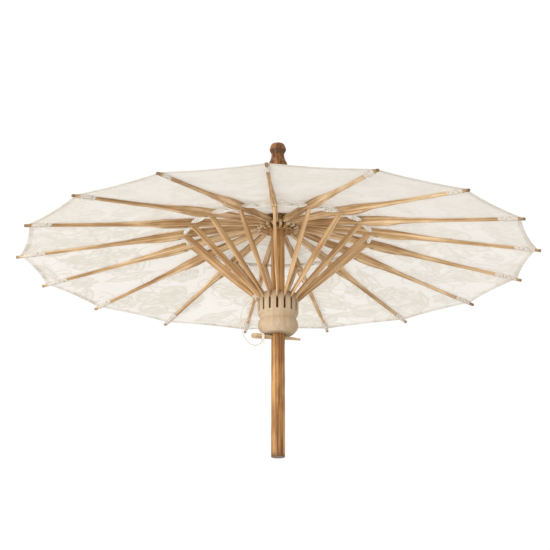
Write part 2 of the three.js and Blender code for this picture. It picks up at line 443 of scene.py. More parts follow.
def blend_colour(tree, share, a, b):
    """Colour a turning into b as the share goes from 0 to 1."""
    a, b = ((*colour, 1) if isinstance(colour, tuple) else colour for colour in (a, b))
    return node(tree, "ShaderNodeMix", {0: share, 6: a, 7: b}, data_type="RGBA").outputs[2]


def bump(tree, height, distance):
    return node(tree, "ShaderNodeBump", {"Height": height, "Distance": distance, "Strength": 1.0}
                ).outputs["Normal"]


def attribute(tree, name, output="Fac"):
    return node(tree, "ShaderNodeAttribute", attribute_name=name).outputs[output]


# ---- materials ----
WOOD_RELIEF = 0.12 * MM
COTTON_RELIEF = 0.25 * MM
LACE_RELIEF = 0.5 * MM
NET_SIZE = 1.6 * MM
NET, THIN_NET, LINING = (0.91, 0.88, 0.825), (0.955, 0.935, 0.9), (0.86, 0.83, 0.77)
# Painted shade: the crease colour darkens the cloth's folds.
FLOWER, CORD, CREASE_SHADE = (0.81, 0.76, 0.675), (0.74, 0.68, 0.585), (0.7, 0.65, 0.57)
# Painted shade: the rim colour darkens the cloth's rim toward the front.
FRONT_RIM_SHADE, STICK_BEHIND = (0.83, 0.79, 0.725), (0.5, 0.33, 0.17)


def wood(name, dark, mid, light, worn_and_shade, roughness, streak):
    """Wood with long streaks, fine fibres, darker patches, and a dark colour where a piece is marked: dirt
    where it is worn or cut, and painted shade in hollows and shaded places.
    """
    material, tree, shader = new_material(name)
    grain = attribute(tree, "grain", "Vector")
    streaks = cloud(tree, scaled(tree, grain, (9, streak, streak)), 1, 5, 0.6)
    fibres = cloud(tree, scaled(tree, grain, (45, 5 * streak, 5 * streak)), 1, 3)
    patches = cloud(tree, scaled(tree, grain, (18, 40, 40)), 1, 2)
    pores = step(tree, cloud(tree, scaled(tree, grain, (60, 3 * streak, 3 * streak)), 1, 2), 0.66, 0.74)
    tone = times_plus(tree, streaks, 0.62, times_plus(tree, fibres, 0.2, times(tree, patches, 0.36)))
    colour = ramp(tree, tone, (0.49, dark), (0.59, mid), (0.7, light))
    colour = blend_colour(tree, times(tree, pores, 0.3), colour, dark)
    # Wear and painted shade both lay on the dark colour, mostly along the streaks.
    wear_and_shade = times(tree, attribute(tree, "wear_and_shade"), step(tree, streaks, 0.25, 0.6))
    fill(tree, shader, {
        "Base Color": blend_colour(tree, wear_and_shade, colour, worn_and_shade),
        "Roughness": times_plus(tree, fibres, 0.25, roughness - 0.1),
        "Normal": bump(tree, times_plus(tree, streaks, 0.6, fibres), WOOD_RELIEF),
        "Specular IOR Level": 0.35,
    })
    return material


def cotton(name, shade, light):
    """Undyed cotton yarn, with fine twisted fibres."""
    material, tree, shader = new_material(name)
    place = node(tree, "ShaderNodeTexCoord").outputs["Object"]
    fibres = cloud(tree, scaled(tree, place, (1400, 1400, 700)), 1, 4, 1.5)
    fill(tree, shader, {
        "Base Color": ramp(tree, fibres, (0.3, shade), (0.7, light)),
        "Normal": bump(tree, fibres, COTTON_RELIEF),
        "Roughness": 0.95,
        "Sheen Weight": 0.3,
        "Sheen Roughness": 0.5,
    })
    return material


class LacePattern:
    """Motifs drawn in cells scattered over the cloth. Places are in metres on the flat cloth."""

    def __init__(self, tree, place):
        self.tree = tree
        warp = node(tree, "ShaderNodeTexNoise", {"Vector": place, "Scale": 55.0, "Detail": 2.0})
        off = vector_calc(tree, "SUBTRACT", warp.outputs["Color"], (0.5, 0.5, 0.5))
        self.place = vector_calc(tree, "MULTIPLY_ADD", off, (0.012,) * 3, place)

    def cell(self, size, shift):
        """Distance and angle from the middle of the nearest cell, in cell sizes, and its random draw."""
        tree = self.tree
        moved = vector_calc(tree, "ADD", self.place, (shift, shift, 0))
        inputs = {"Vector": moved, "Scale": 1 / size, "Randomness": 0.8}
        scatter = node(tree, "ShaderNodeTexVoronoi", inputs, voronoi_dimensions="2D").outputs
        grown = scaled(tree, moved, (1 / size,) * 3)
        # Position comes back in unscaled units, so it is scaled with the place.
        middle = scaled(tree, scatter["Position"], (1 / size,) * 3)
        away = parts_of(tree, vector_calc(tree, "SUBTRACT", grown, middle))
        draw = node(tree, "ShaderNodeSeparateColor", {0: scatter["Color"]}).outputs
        turn = times(tree, draw[0], 2 * pi)
        angle = calc(tree, "ADD", calc(tree, "ARCTAN2", away[1], away[0]), turn)
        return scatter["Distance"], angle, draw[1]

    def outline(self, gap, width):
        """1 where the gap is near 0, on a line of that width."""
        return less(self.tree, 1.0, step(self.tree, calc(self.tree, "ABSOLUTE", gap), width * 0.5, width))

    def flower(self, size, shift, petals, reach):
        """A flower's filled shape and the cord round its petals."""
        tree = self.tree
        distance, angle, draw = self.cell(size, shift)
        lobes = calc(tree, "ABSOLUTE", calc(tree, "COSINE", times(tree, angle, petals / 2)))
        edge = times_plus(tree, calc(tree, "POWER", lobes, 0.55), reach * 0.55, reach * 0.45)
        gap = less(tree, times(tree, edge, times_plus(tree, draw, 0.5, 0.65)), distance)
        heart = self.outline(less(tree, distance, reach * 0.22), 0.03)
        vein = times(tree, step(tree, lobes, 0.93, 0.99), step(tree, gap, 0.02, 0.05))
        return step(tree, gap, -0.012, 0.012), most(tree, self.outline(gap, 0.035), heart, vein)

    def leaf(self, size, shift, reach, breadth):
        """A long leaf with a middle vein."""
        tree = self.tree
        distance, angle, _ = self.cell(size, shift)
        share = calc(tree, "DIVIDE", times(tree, distance, calc(tree, "COSINE", angle)), reach)
        across = calc(tree, "ABSOLUTE", times(tree, distance, calc(tree, "SINE", angle)))
        gap = less(tree, times(tree, less(tree, 1.0, times(tree, share, share)), breadth), across)
        vein = times(tree, self.outline(across, 0.03), step(tree, gap, 0.0, 0.03))
        return step(tree, gap, -0.012, 0.012), most(tree, self.outline(gap, 0.03), vein)

    def curl(self, size, shift, reach, turns, width):
        """A curling tendril that winds out from the middle of its cell."""
        tree = self.tree
        distance, angle, _ = self.cell(size, shift)
        winding = times_plus(tree, distance, turns / reach, calc(tree, "DIVIDE", angle, 2 * pi))
        off = less(tree, calc(tree, "FRACT", winding), 0.5)
        near = less(tree, 1.0, step(tree, distance, reach * 0.92, reach))
        return times(tree, self.outline(off, width), near)


def motifs(tree, place):
    """The lace's filled flowers and leaves, and its cords and tendrils."""
    pattern = LacePattern(tree, place)
    flower, flower_cord = pattern.flower(0.12, 3.1, 5, 0.4)
    small, small_cord = pattern.flower(0.07, 7.7, 6, 0.24)
    leaf, leaf_cord = pattern.leaf(0.072, 5.3, 0.44, 0.13)
    curls = pattern.curl(0.075, 1.4, 0.4, 1.5, 0.08), pattern.curl(0.05, 9.2, 0.34, 1.2, 0.1)
    uneven = step(tree, cloud(tree, place, 60, 3), 0.3, 0.62)
    filled = times(tree, most(tree, flower, small, leaf), uneven)
    return filled, most(tree, flower_cord, small_cord, leaf_cord, *curls)


def creases(tree, place):
    """The distance from the shaft, and fine folds in rings round it."""
    radius = node(tree, "ShaderNodeVectorMath", {0: place}, operation="LENGTH").outputs["Value"]
    parts = parts_of(tree, scaled(tree, place, (30, 30, 0)))
    folds = []
    for spacing in (0.0052, 0.0022):
        inputs = {0: parts[0], 1: parts[1], 2: times(tree, radius, 1 / spacing)}
        folds.append(cloud(tree, node(tree, "ShaderNodeCombineXYZ", inputs).outputs[0], 1, 3, 0.4))
    return radius, times_plus(tree, folds[1], 0.5, folds[0])


def cloth_colour(tree, place, radius, filled, cords, motif):
    """Lace colours: a lining near the crown, painted light that makes the flowers fainter toward the front
    and the right, and painted shade on the rim toward the front.
    """
    x, y = parts_of(tree, place)[:2]
    ragged = times_plus(tree, cloud(tree, place, 45, 2), 0.05, radius)
    lining = less(tree, 1.0, step(tree, ragged, 0.13, 0.142))
    # Painted light: flowers and cords grow fainter toward the front and toward the right.
    front_light_fade = times_plus(tree, step(tree, y, -0.2, 0.02), 0.55, 0.45)
    light_faded_strength = times(tree, front_light_fade, less(tree, 1.0, times(tree, step(tree, x, 0.04, 0.22), 0.3)))
    colour = blend_colour(tree, cloud(tree, place, 34, 3), NET, THIN_NET)
    for share, tint in (
            (times(tree, lining, 0.28), LINING),
            # Painted shade on the rim toward the front.
            (times(tree, step(tree, y, 0.02, -0.26), 0.6), FRONT_RIM_SHADE),
            (times(tree, filled, times(tree, light_faded_strength, 0.62 * motif)), FLOWER),
            (times(tree, cords, times(tree, light_faded_strength, 0.5 * motif)), CORD),
            (times(tree, attribute(tree, "doubled"), 0.1), FLOWER)):
        colour = blend_colour(tree, share, colour, tint)
    return colour


def lace(name, motif=1.0, wood_behind=0.0):
    """Thin lace: net ground, denser flowers and leaves, cords, creases, and light through it.

    motif is how strongly the flowers show, and wood_behind how much a stick shows through the holes.
    """
    material, tree, shader = new_material(name)
    place = node(tree, "ShaderNodeUVMap", uv_map="cloth").outputs[0]
    filled, cords = motifs(tree, place)
    radius, folds = creases(tree, place)
    colour = cloth_colour(tree, place, radius, filled, cords, motif)
    # Painted shade in the cloth's folds.
    colour = blend_colour(tree, times(tree, step(tree, folds, 0.8, 1.0), 0.16), colour, CREASE_SHADE)
    if wood_behind:
        gaps = step(tree, cloud(tree, place, 420, 2), 0.52, 0.66)
        colour = blend_colour(tree, times(tree, gaps, wood_behind), colour, STICK_BEHIND)
    net = node(tree, "ShaderNodeTexVoronoi", {"Vector": place, "Scale": 1 / NET_SIZE, "Randomness": 0.25},
               voronoi_dimensions="2D", feature="DISTANCE_TO_EDGE").outputs["Distance"]
    weave = times_plus(tree, filled, 0.3, times(tree, step(tree, net, 0.1, 0.3), -0.15))
    height = calc(tree, "ADD", times_plus(tree, cords, 0.35, weave), times(tree, folds, 1.5))
    relief = bump(tree, height, LACE_RELIEF)
    fill(tree, shader, {"Base Color": colour, "Normal": relief, "Roughness": 0.85,
                        "Specular IOR Level": 0.2, "Sheen Weight": 0.15})
    through = node(tree, "ShaderNodeBsdfTranslucent", {"Color": colour, "Normal": relief})
    both = node(tree, "ShaderNodeMixShader", {0: 0.4, 1: shader.outputs[0], 2: through.outputs[0]})
    fill(tree, tree.nodes["Material Output"], {"Surface": both.outputs[0]})
    return material


SHAFT_WOOD = wood("shaft wood", (0.17, 0.066, 0.016), (0.37, 0.175, 0.05), (0.6, 0.34, 0.12),
                  (0.1, 0.05, 0.025), 0.36, 330)
RIB_WOOD = wood("rib wood", (0.33, 0.175, 0.068), (0.55, 0.35, 0.17), (0.85, 0.64, 0.4),
                (0.13, 0.075, 0.04), 0.5, 420)
STRETCHER_WOOD = wood("stretcher wood", (0.37, 0.205, 0.085), (0.54, 0.335, 0.16), (0.73, 0.5, 0.28),
                      (0.2, 0.11, 0.05), 0.5, 420)
RUNNER_WOOD = wood("runner wood", (0.44, 0.32, 0.2), (0.49, 0.365, 0.235), (0.54, 0.415, 0.28),
                   (0.17, 0.09, 0.04), 0.7, 300)
HUB_WOOD = wood("hub wood", (0.3, 0.155, 0.06), (0.5, 0.29, 0.12), (0.68, 0.45, 0.22),
                (0.17, 0.1, 0.05), 0.65, 260)
FINIAL_WOOD = wood("finial wood", (0.085, 0.032, 0.008), (0.22, 0.088, 0.022), (0.42, 0.185, 0.055),
                   (0.035, 0.02, 0.012), 0.38, 480)
PEG_WOOD = wood("peg wood", (0.38, 0.25, 0.13), (0.55, 0.39, 0.22), (0.68, 0.52, 0.33),
                (0.22, 0.13, 0.065), 0.6, 420)
COTTON = cotton("cotton", (0.8, 0.75, 0.66), (0.97, 0.95, 0.9))
STRING_COTTON = cotton("string cotton", (0.56, 0.49, 0.38), (0.84, 0.78, 0.67))
LASHING_COTTON = cotton("lashing cotton", (0.56, 0.4, 0.23), (0.84, 0.67, 0.46))
LACE = lace("lace")
SLEEVE_LACE = lace("sleeve lace", 0.1, 0.75)


# ---- ribs and stretchers ----
STICK_CREASE_DEG = 24
# Edges of a rib: distance from its hinge, height over the line from hinge to tip.
RIB_TOP = smooth([(-3, 1.0), (0, 3.2), (6, 4.0), (40, 4.2), (88, 5.7), (112, 5.6), (128, 5.0), (142, 4.0),
                  (160, 3.0), (200, 1.8), (260, 1.6), (297, 1.4)])
RIB_BOTTOM = smooth([(-3, -1.0), (0, -2.4), (6, -2.8), (50, -3.1), (94, -3.4), (106, -4.6), (120, -4.9),
                     (132, -4.3), (144, -2.9), (162, -2.2), (200, -1.7), (260, -1.5), (297, -1.4)])
RIB_HALF_WIDTH = smooth([(-3, 1.3), (8, 1.5), (40, 2.0), (83, 2.8), (128, 2.8), (160, 2.2), (220, 1.9),
                         (297, 1.6)])
# The slot in the rib's belly: place from the pivot along the rib, and height.
BELLY_SLOT = [(-14, -12), (-8, -3.6), (-5.8, -1), (-3.8, 4.3), (3, 4.3), (60, -4.4), (60, -12)]
BELLY_SLOT_WIDTH = 3.9
# Painted shade in the slot's hollow: how far out from the pivot its middle is, and how far it spreads.
SLOT_SHADE, SLOT_SHADE_REACH = 7, 5
# The same for a stretcher, from the pivot to its foot.
STRETCHER_HALF_DEPTH = smooth([(-3, 1.2), (-1.5, 2.4), (2, 3.0), (14, 3.1), (80, 3.0), (104, 2.3),
                               (122, 1.9), (124.5, 1.2)])
STRETCHER_HALF_WIDTH = smooth([(-3, 1.4), (0, 1.6), (14, 1.65), (84, 1.65), (106, 1.1), (112, 1.0),
                               (125, 0.9)])


def stick_section(x, half_width, bottom, top, corner, stray):
    """A stick's rounded outline across its length, as points."""
    section = []
    corner = min(corner, half_width * 0.8, (top - bottom) * 0.4)
    for side, level, start in ((1, bottom, -90), (1, top, 0), (-1, top, 90), (-1, bottom, 180)):
        middle_y = side * (half_width - corner)
        middle_z = level + corner if level == bottom else level - corner
        for k in range(4):
            turn = radians(start + 30 * k)
            section.append(Vector((x, middle_y + corner * cos(turn), middle_z + corner * sin(turn))))
        if start in (-90, 90):
            section.append(Vector((x, side * half_width, (bottom + top) / 2)))
        else:
            section.append(Vector((x, 0, level)))
    return [stray(p) * MM for p in section]


def stick(name, xs, half_width, bottom, top, corner, most_bow, seed):
    """A knife-cut stick along X, in millimetres, slightly uneven by hand."""
    draw = random.Random(seed)
    bow = draw.uniform(-most_bow, most_bow)
    offset = drawn(draw, 0, 50)
    length = xs[-1]

    def stray(p):
        cut_marks = noise.noise_vector(Vector((p.x / 15, p.y / 9, p.z / 9)) + offset) * 0.24
        bend = bow * sin(pi * clamp(p.x / length))
        return p + Vector((0, cut_marks.y + bend, cut_marks.z))

    rings = [stick_section(x, half_width(x), bottom(x), top(x), corner, stray) for x in xs]
    return make_object(name, *loft(rings), crease_deg=STICK_CREASE_DEG)


def slab_cutter(outline, width):
    """An outline of (x, z) millimetres, given width along Y."""
    rings = [[Vector((x, y, z)) * MM for x, z in outline] for y in (width / 2, -width / 2)]
    return make_object("cutter", *loft(rings))


def end_wear(length, reach):
    """Dirt that grows toward a stick's outer end."""
    return lambda p: clamp((p.x / MM - length + reach) / reach)


def make_rib(spoke, seed):
    length = spoke.length / MM
    xs = [-2.8, -1.5, *np.arange(0, 297, 3.5), length - 0.4, length]
    xs = [x for x in xs if x <= length]
    rib = stick(f"cut_rib_{spoke.label}", xs, RIB_HALF_WIDTH, RIB_BOTTOM, RIB_TOP, 0.45, 0.5, seed)
    slot = [(PIVOT_ALONG / MM + x, z) for x, z in BELLY_SLOT]
    cut(rib, slab_cutter(slot, BELLY_SLOT_WIDTH), STICK_CREASE_DEG)
    end = end_wear(length, 7)

    def wear_and_shade(p):
        # Painted shade in the hollow at the slot's outer end; dirt toward the rib's outer end.
        beside = hypot((p.x - PIVOT_ALONG) / MM - SLOT_SHADE, p.z / MM) < SLOT_SHADE_REACH
        return 1.0 if beside and abs(p.y) < BELLY_SLOT_WIDTH / 2 * MM + 1e-6 else end(p)

    finish_wood(rib, along_x, seed, wear_and_shade, spoke.rib_frame)
    place_piece(rib, RIB_WOOD, spoke.rib_body, "rib_wood", f"rib_{spoke.label}")


def make_stretcher(spoke, seed):
    xs = [-2.9, -2.2, -1.2, 0, *np.arange(3, 121, 4.0), 121, 122.8, 124.2]
    stretcher = stick(f"cut_stretcher_{spoke.label}", xs, STRETCHER_HALF_WIDTH,
                      lambda x: -STRETCHER_HALF_DEPTH(x), STRETCHER_HALF_DEPTH, 0.4, 0.1, seed)
    finish_wood(stretcher, along_x, seed, None, spoke.stretcher_frame)
    place_piece(stretcher, STRETCHER_WOOD, spoke.stretcher_body, "stretcher_wood", f"stretcher_{spoke.label}")


# ---- turned pieces ----
# Turnings, in millimetres: how wide the slots are, the bores, and the hub's levels.
HUB_SLOT, RUNNER_SLOT = 3.6, 2.6
HUB_BORE, RUNNER_BORE, TENON = 8.3, 8.7, 6.3
HUB_SHOULDER, HUB_NECK, HUB_NECK_TOP = 291, 12.5, 303.5
SHAFT_SHOULDER = 296
SHAFT_SHADE_START = 196
PEG_HOLE = 2.9


def to_metres(profile):
    return [(r * MM, z * MM) for r, z in profile]


def rounded_profile(corners, steps=4):
    """A turning's profile through (radius, height) millimetre points, smoothed between them."""
    path = rounded_path([(r, z, 0) for r, z in corners], steps)
    return [(p.x * MM, p.y * MM) for p in path]


def ring_of_slots(width, inner, outer, bottom, top):
    skins = [box_skin((inner * MM, -width / 2 * MM, bottom * MM), (outer * MM, width / 2 * MM, top * MM),
                      Matrix.Rotation(spoke.angle, 4, "Z")) for spoke in SPOKES]
    return make_object("cutter", *merged(skins))


def make_shaft():
    low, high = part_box("shaft")
    radius, tenon = high.x, high.x - 2 * MM
    shoulder = SHAFT_SHOULDER * MM
    profile = [(0, 0), (radius - 0.5 * MM, 0),
               *[(radius, z) for z in np.linspace(0.5 * MM, shoulder, 60)],
               (tenon, shoulder), (tenon, high.z), (0, high.z)]
    shaft = turned("turned_shaft", profile, 64, False, 0.25 * MM, 4)
    peg_low, peg_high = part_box("lock_peg")
    hole = UP * ((peg_low + peg_high) / 2).z
    half = Vector((peg_high.x - peg_low.x, peg_high.y - peg_low.y, 0)).normalized() * 12 * MM
    cut(shaft, make_object("cutter", *tube([hole - half, hole, hole + half], PEG_HOLE * MM, 24)))
    # Dirt at the cut foot; above the shade start the shaft gets painted shade.
    finish_wood(shaft, along_z, 11,
                lambda p: 0.8 if p.z < 0.6 * MM else 0.14 * (p.z > SHAFT_SHADE_START * MM))
    place_piece(shaft, SHAFT_WOOD, "shaft", "shaft_wood", "shaft")


def make_finial():
    low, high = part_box("finial")
    bottom, top = low.z / MM, high.z / MM
    socket = [(0, bottom + 26.5), (TENON, bottom + 26.5)]
    foot = [(TENON, bottom), (13.6, bottom), (14, bottom + 0.5), (14, bottom + 3.6), (13.4, bottom + 4.2)]
    vase = rounded_profile([(13, bottom + 4.3), (10.2, bottom + 8), (9.6, bottom + 15), (11.4, bottom + 26),
                            (13, bottom + 38), (12.8, bottom + 46), (11.4, top - 27), (9.4, top - 22),
                            (8.0, top - 17.5), (7.7, top - 14)])
    collar = rounded_profile([(7.9, top - 12.6), (8.4, top - 11.4)]) + to_metres([(9.7, top - 9.2)])
    cap = rounded_profile([(10, top - 8.4), (9.7, top - 6), (8.6, top - 2.6), (7.4, top - 0.9),
                           (5, top - 0.2), (0, top)])
    profile = to_metres(socket + foot) + vase + collar + cap
    finial = turned("turned_finial", profile, 64, False, 0.5 * MM, 9)
    # The band under the cap and round the collar is darker: painted shade of the undercut, with dark stain.
    finish_wood(finial, along_z, 21, lambda p: 0.8 if 8.6 < top - p.z / MM < 14.5 else 0.0)
    place_piece(finial, FINIAL_WOOD, "shaft", "finial_wood", "finial")


def make_hub():
    low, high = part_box("top_hub")
    bottom, radius = low.z / MM, high.x / MM
    profile = [(HUB_BORE, bottom + 0.3), (HUB_BORE + 0.5, bottom), (radius - 0.6, bottom),
               (radius, bottom + 0.6), (radius, HUB_SHOULDER - 2), (radius - 2.5, HUB_SHOULDER),
               (HUB_NECK + 0.5, HUB_SHOULDER), (HUB_NECK, HUB_SHOULDER + 0.6), (HUB_NECK, HUB_NECK_TOP - 0.5),
               (HUB_NECK - 0.5, HUB_NECK_TOP), (HUB_BORE, HUB_NECK_TOP)]
    hub = turned("turned_hub", to_metres(profile), 102, True, 0.3 * MM, 2)
    cut(hub, ring_of_slots(HUB_SLOT, 11.6, 26, 270, 288.6))
    finish_wood(hub, along_z, 31, lambda p: 0.0 if p.z < 288 * MM else 0.6)
    place_piece(hub, HUB_WOOD, "shaft", "hub_wood", "top_hub")


def make_runner():
    low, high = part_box("runner")
    bottom, top, crown = low.z / MM, high.z / MM, high.x / MM
    outside = [(15.9, bottom), (18.6, bottom + 1.6), (20.6, bottom + 3.8), (22.9, bottom + 7),
               (23.8, bottom + 10.4), (23.3, bottom + 14.6), (21.9, bottom + 17.6), (21.4, bottom + 19.6),
               (22.2, bottom + 22), (crown - 0.5, bottom + 24.6), (crown, bottom + 27)]
    mouth = [(crown, bottom + 36), (crown - 0.1, top - 1), (crown - 0.9, top), (RUNNER_BORE + 3.5, top),
             (RUNNER_BORE, top - 1.5), (RUNNER_BORE, bottom + 1), (RUNNER_BORE + 0.8, bottom)]
    profile = rounded_profile(outside) + to_metres(mouth)
    runner = turned("turned_runner", profile, 102, True, 0.5 * MM, 5)
    cut(runner, ring_of_slots(RUNNER_SLOT, 15, 30, 172, top + 4))

    def runner_shade_and_grime(p):
        radius = hypot(p.x, p.y) / MM
        # Painted shade on the top of the crown's teeth, with some grime of their own.
        toward_top = clamp((p.z / MM - top + 10) / 5)
        # Painted shade inside the crown's outer face above 170 mm: slot walls, bore and inner top.
        runner_slot_shade = 0.6 if radius < crown - 1.4 and p.z > 170 * MM else 0.0
        return max(0.8 * toward_top, runner_slot_shade, 0.5 if p.z < (bottom + 0.7) * MM else 0.0)

    finish_wood(runner, along_z, 41, runner_shade_and_grime)
    place_piece(runner, RUNNER_WOOD, "runner", "runner_wood", "runner")


def make_peg():
    """The whittled stick through the shaft: thick oblique-cut head, thin tail."""
    low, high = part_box("lock_peg")
    frame_of_peg = Matrix.Translation((0, 0, (low.z + high.z) / 2)) @ Matrix.Rotation(PEG_TURN, 4, "Z")
    draw = random.Random(71)
    start, end, head = -29.9, 27.4, -22
    facets = 9
    radius = smooth([(-29.9, 3.35), (-26, 3.3), (-14, 2.7), (-8, 2.45), (8, 2.2), (18, 1.75), (27.5, 1.3)])
    facet_push = [draw.uniform(0.86, 1.06) for _ in range(facets)]
    rings = []
    for x in [start, start + 0.3, *np.arange(-29, 27.2, 2), end - 0.3, end]:
        ring = []
        slim = 0.93 if x in (start, end) else 1.0
        for k in range(facets * 3):
            push = facet_push[k // 3]
            if k % 3 == 0:
                push = (push + facet_push[k // 3 - 1]) / 2 + 0.04
            a = 2 * pi * k / (facets * 3)
            r = radius(x) * push * slim
            y, z = r * cos(a), r * sin(a)
            # The head's face is cut at a slant, turned to the front.
            slant = 0.75 * y * max(0.0, (head - x) / 8)
            ring.append(Vector((x - slant, y, z + 0.25 * sin(x / 7))) * MM)
        rings.append(ring)
    peg = make_object("whittled_peg", *loft(rings))
    finish_wood(peg, along_x, 51, lambda p: 0.5 if p.x > 27 * MM else 0.1, frame_of_peg)
    place_piece(peg, PEG_WOOD, "peg", "peg_wood", "lock_peg")


# ---- threads ----
def strands(path, count, spread, radius, twist, sides, seed):
    """Strands twisted round each other along a path; spread and radius may be functions of the share."""
    draw = random.Random(seed)
    skins = []
    for s in range(count):
        start = 2 * pi * s / count + draw.uniform(-0.3, 0.3)
        line = []
        for i, p in enumerate(path):
            share = i / (len(path) - 1)
            ahead = heading(path, i)
            aside = ahead.cross(UP)
            aside = aside.normalized() if aside.length > 0.05 else Vector((1, 0, 0))
            over = aside.cross(ahead)
            turn = start + twist * share * 2 * pi
            reach = spread(share) if callable(spread) else spread
            line.append(p + aside * (reach * cos(turn)) + over * (reach * sin(turn)))
        skins.append(tube(line, radius, sides))
    return merged(skins)


def thread_piece(name, skin, body, *stands_for, material=COTTON):
    piece = make_object(name, *skin, crease_deg=180)
    place_piece(piece, material, body, "thread", *stands_for)
    return piece


def ring_path(radius, height, steps=204):
    """A closed walk round the shaft."""
    turns = [SPOKES[0].angle + 2 * pi * k / steps for k in range(steps + 1)]
    return [Vector((radius * cos(turn), radius * sin(turn), height)) for turn in turns]


def make_ring_threads():
    for node_name, body, seed in (("hub_thread", "shaft", 3), ("runner_thread", "runner", 4)):
        radius, height = ring_place(node_name)
        skin = strands(ring_path(radius, height), 2, 0.26 * MM, 0.3 * MM, 60, 5, seed)
        thread_piece(f"twisted_{node_name}", skin, body, node_name)


def make_hub_lashing():
    """Loose turns of the hub's thread that show between the ribs' inner ends."""
    skins = []
    for spoke in SPOKES:
        draw = random.Random(f"lashing {spoke.label}")
        out = toward(spoke.angle + HALF_SECTOR)
        tangent = UP.cross(out)
        for _ in range(3):
            middle = out * (draw.uniform(21.8, 23.2) * MM) + UP * (draw.uniform(278, 279.5) * MM)
            middle += tangent * (draw.uniform(-1.0, 1.0) * MM)
            lean = out * draw.uniform(-0.5, 0.5) + UP * draw.uniform(-0.5, 0.5)
            skins.append(wound_loops(middle, tangent + lean, draw.uniform(1.6, 3.1) * MM, 1.4, 0.8 * MM,
                                     draw.uniform(0.5, 0.85) * MM, draw.randrange(1000)))
    thread_piece("hub_lashing", merged(skins), "shaft", material=LASHING_COTTON)


# How far beside the rib's middle the yarn starts.
YARN_START = 2.6 * MM


def make_pivot_yarn(spoke, seed):
    """Loosely spun cotton from a rib's belly, reaching half way to the neighbour on each side."""
    draw = random.Random(seed)
    meet = spoke.pivot.to_2d().length * cos(HALF_SECTOR)
    thickness = smooth([(0, 0.5), (0.12, 0.9), (0.35, 1.6), (0.75, 1.9), (1, 1.85)])
    for side, way in (("left", 1), ("right", -1)):
        angle = spoke.angle + way * HALF_SECTOR
        far = Vector((meet * cos(angle), meet * sin(angle), spoke.pivot.z - 0.6 * MM))
        near = spoke.pivot + spoke.side * (way * YARN_START)
        path = [near.lerp(far, share) - UP * (0.6 * MM * sin(pi * share / 2))
                for share in np.linspace(0, 1, 12)]
        skins = [strands(path, 5, lambda share: thickness(share) * MM,
                         lambda share: (0.3 + 0.3 * thickness(share)) * MM, 0.8 * way, 6, draw.random())]
        for _ in range(9):
            root = near.lerp(far, draw.uniform(0.3, 0.95))
            lean = Vector((draw.uniform(-1, 1), draw.uniform(-1, 1), draw.uniform(-1, 0.6))).normalized()
            along = (far - near).normalized()
            hair = [root, root + (lean * 2.0 + along * 1.4) * MM, root + (lean * 3.0 + along * 3.6) * MM]
            skins.append(tube(rounded_path(hair, 2), lambda s: (0.14 - 0.08 * s) * MM, 4))
        piece = thread_piece(f"pivot_yarn_{spoke.label}_{side}", merged(skins), spoke.rib_body,
                             f"tie_{spoke.label}")
        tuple(spoke.side)
        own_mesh(piece)


# The string hangs from the runner's crown and back up to the peg's head, in millimetres.
STRING_ROUTE = [
    (-27.2, -9.2, 190.2), (-31, -9.6, 188), (-37, -9.8, 181.5), (-41.6, -9.8, 173.5), (-43.8, -9.6, 164),
    (-43.6, -9.4, 154), (-41.4, -9.2, 145), (-37.2, -8.8, 137.2), (-31.4, -8.2, 132), (-25.4, -7.2, 131),
    (-20.6, -6.2, 133.6), (-17.9, -5.5, 138.4),
]
STRING_DIAMETER = 1.1 * MM


def path_length(path):
    return sum((b - a).length for a, b in zip(path, path[1:]))


def make_string():
    """The string that keeps the peg on the runner."""
    path = rounded_path([Vector(p) * MM for p in STRING_ROUTE])
    string = thread_piece("peg_cord", tube(path, STRING_DIAMETER / 2, 10), "runner", "peg_string",
                          material=STRING_COTTON)
    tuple(path[0])
    path_length(path)
    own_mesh(string)
    return path


def wound_loops(middle, axis, radius, turns, pitch, thread_radius, seed):
    """Turns of thread wound round an axis, a little uneven."""
    draw = random.Random(seed)
    axis = axis.normalized()
    first = axis.orthogonal().normalized()
    second = axis.cross(first)
    steps = 16
    path = []
    for k in range(int(turns * steps) + 1):
        turn = 2 * pi * k / steps
        r = radius * (1 + draw.uniform(-0.04, 0.04))
        path.append(middle + axis * (pitch * (k / steps - turns / 2)) + first * (r * cos(turn))
                    + second * (r * sin(turn)))
    return tube(path, thread_radius, 6)


def frayed_end(root, direction, length, count, seed):
    """Loose fibres that spread from the end of a thread."""
    draw = random.Random(seed)
    direction = direction.normalized()
    skins = []
    for _ in range(count):
        aim = (direction + drawn(draw, -1, 1) * 0.5).normalized()
        reach = length * draw.uniform(0.6, 1.0)
        fibre = [root, root + direction * reach * 0.4, root + aim * reach]
        skins.append(tube(rounded_path(fibre, 3), lambda s: (0.3 - 0.18 * s) * MM, 5))
    return merged(skins)


